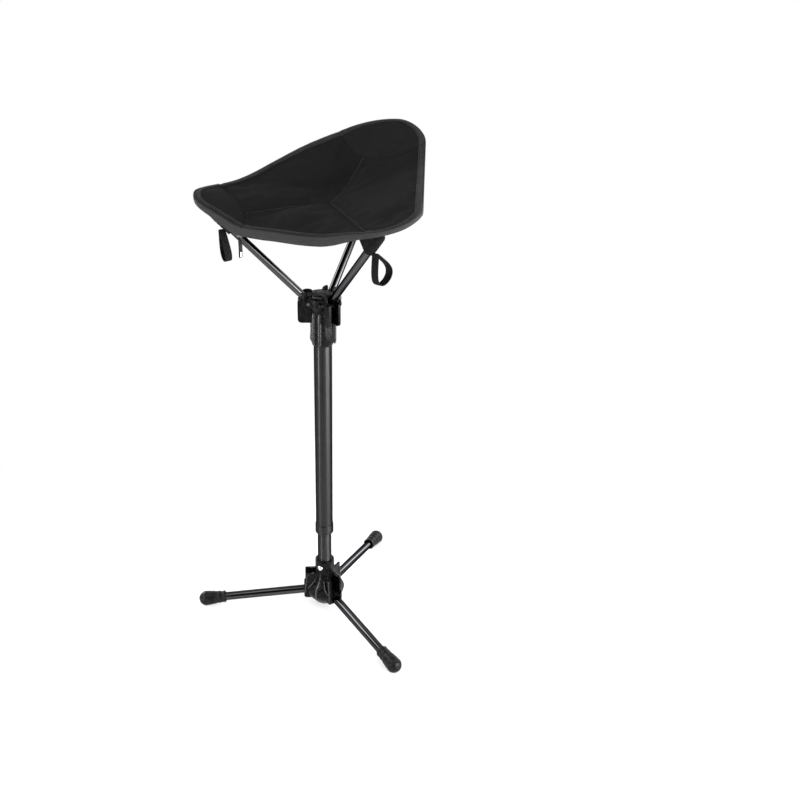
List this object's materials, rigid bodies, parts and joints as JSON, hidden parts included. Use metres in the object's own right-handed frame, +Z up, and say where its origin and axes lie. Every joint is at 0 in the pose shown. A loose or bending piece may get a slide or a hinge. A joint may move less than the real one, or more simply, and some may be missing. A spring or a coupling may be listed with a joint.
{
  "type": "folding telescopic stool",
  "caption": "Collapsible stool: a folding tripod foot, a telescopic column with a twist lock, and folding arms that spread a padded triangular fabric seat.",
  "frame": {"origin": "centre of the flat underside of the base hub, on the axis of the column, 4.5 mm above the floor", "axes": "+Z up along the column; the left leg points along -X, the other two legs lie 60 degrees either side of +X"},
  "size_m": [0.33, 0.3556, 0.6751],
  "materials": {
    "hub_nylon": "moulded black nylon, satin",
    "black_gloss_tube": "gloss black",
    "grey_tube": "satin dark grey",
    "bright_steel": "bright",
    "dark_steel": "blackened steel",
    "rubber": "matt black rubber",
    "oxford_cloth": "black woven polyester cloth over foam",
    "webbing": "black woven tape"
  },
  "bodies": {
    "base": {"base_hub": "hub_nylon", "leg_pin_left": "dark_steel", "leg_pin_rear": "dark_steel", "leg_pin_right": "dark_steel", "inner_tube": "black_gloss_tube", "snap_spring": "bright_steel", "lock_cone": "hub_nylon"},
    "snap_button": {"snap_button": "bright_steel"},
    "lock": {"lock_sleeve": "hub_nylon"},
    "column": {"outer_tube": "grey_tube", "end_bush": "grey_tube", "top_hub": "hub_nylon", "top_hub_cap": "hub_nylon", "arm_pin_left": "dark_steel", "arm_pin_rear": "dark_steel", "arm_pin_right": "dark_steel"},
    "seat": {"seat_panel": "oxford_cloth", "seat_binding": "webbing", "corner_pocket_left": "oxford_cloth", "pull_loop_left": "webbing", "corner_pocket_rear": "oxford_cloth", "pull_loop_rear": "webbing", "corner_pocket_right": "oxford_cloth", "pull_loop_right": "webbing", "zip_slider": "dark_steel"},
    "zip_pull": {"zip_pull": "bright_steel"},
    "leg_left": {"leg_knuckle_left": "hub_nylon", "leg_tube_left": "black_gloss_tube", "foot_left": "rubber"},
    "arm_left": {"arm_knuckle_left": "hub_nylon", "arm_tube_left": "black_gloss_tube", "arm_tip_left": "rubber"},
    "leg_rear": {"leg_knuckle_rear": "hub_nylon", "leg_tube_rear": "black_gloss_tube", "foot_rear": "rubber"},
    "arm_rear": {"arm_knuckle_rear": "hub_nylon", "arm_tube_rear": "black_gloss_tube", "arm_tip_rear": "rubber"},
    "leg_right": {"leg_knuckle_right": "hub_nylon", "leg_tube_right": "black_gloss_tube", "foot_right": "rubber"},
    "arm_right": {"arm_knuckle_right": "hub_nylon", "arm_tube_right": "black_gloss_tube", "arm_tip_right": "rubber"}
  },
  "joints": [
    {"name": "leg_left_fold", "type": "hinge", "parent": "base", "child": "leg_left", "pos_m": [-0.02, 0, 0.0207], "axis": [0, 1, 0], "range_deg": [0, 93]},
    {"name": "leg_rear_fold", "type": "hinge", "parent": "base", "child": "leg_rear", "pos_m": [0.01, 0.01732, 0.0207], "axis": [0.866, -0.5, 0], "range_deg": [0, 93]},
    {"name": "leg_right_fold", "type": "hinge", "parent": "base", "child": "leg_right", "pos_m": [0.01, -0.01732, 0.0207], "axis": [-0.866, -0.5, 0], "range_deg": [0, 93]},
    {"name": "button_press", "type": "slide", "parent": "base", "child": "snap_button", "axis": [0.5, 0.866, 0], "range_m": [0, 0.0055], "stiffness_N_per_m": 600, "springref_m": -0.004, "deforming": ["snap_spring"]},
    {"name": "lock_twist", "type": "hinge", "parent": "base", "child": "lock", "pos_m": [0, 0, 0.39], "axis": [0, 0, 1], "range_deg": [0, 120]},
    {"name": "column_slide", "type": "slide", "parent": "lock", "child": "column", "axis": [0, 0, 1], "range_m": [-0.038, 0.18]},
    {"name": "seat_lift", "type": "slide", "parent": "column", "child": "seat", "axis": [0, 0, 1], "range_m": [0, 0.15], "deforming": ["corner_pocket_left", "corner_pocket_rear", "corner_pocket_right", "pull_loop_left", "pull_loop_rear", "pull_loop_right"]},
    {"name": "arm_left_fold", "type": "hinge", "parent": "column", "child": "arm_left", "pos_m": [-0.01799, 0.00063, 0.4718], "axis": [-0.0349, -0.9994, 0], "range_deg": [0, 130]},
    {"name": "arm_rear_fold", "type": "hinge", "parent": "column", "child": "arm_rear", "pos_m": [0.00954, 0.01526, 0.4718], "axis": [-0.848, 0.5299, 0], "range_deg": [0, 130]},
    {"name": "arm_right_fold", "type": "hinge", "parent": "column", "child": "arm_right", "pos_m": [0.00845, -0.01589, 0.4718], "axis": [0.8829, 0.4695, 0], "range_deg": [0, 130]},
    {"name": "zip_pull_swing", "type": "hinge", "parent": "seat", "child": "zip_pull", "pos_m": [-0.09802, -0.05468, 0.56919], "axis": [-0.5805, -0.8143, 0], "range_deg": [-75, 75]}
  ],
  "couplings": [
    {"joint": "arm_left_fold", "follows": "seat_lift", "rad_per_m": 15.126},
    {"joint": "arm_rear_fold", "follows": "seat_lift", "rad_per_m": 15.126},
    {"joint": "arm_right_fold", "follows": "seat_lift", "rad_per_m": 15.126}
  ]
}
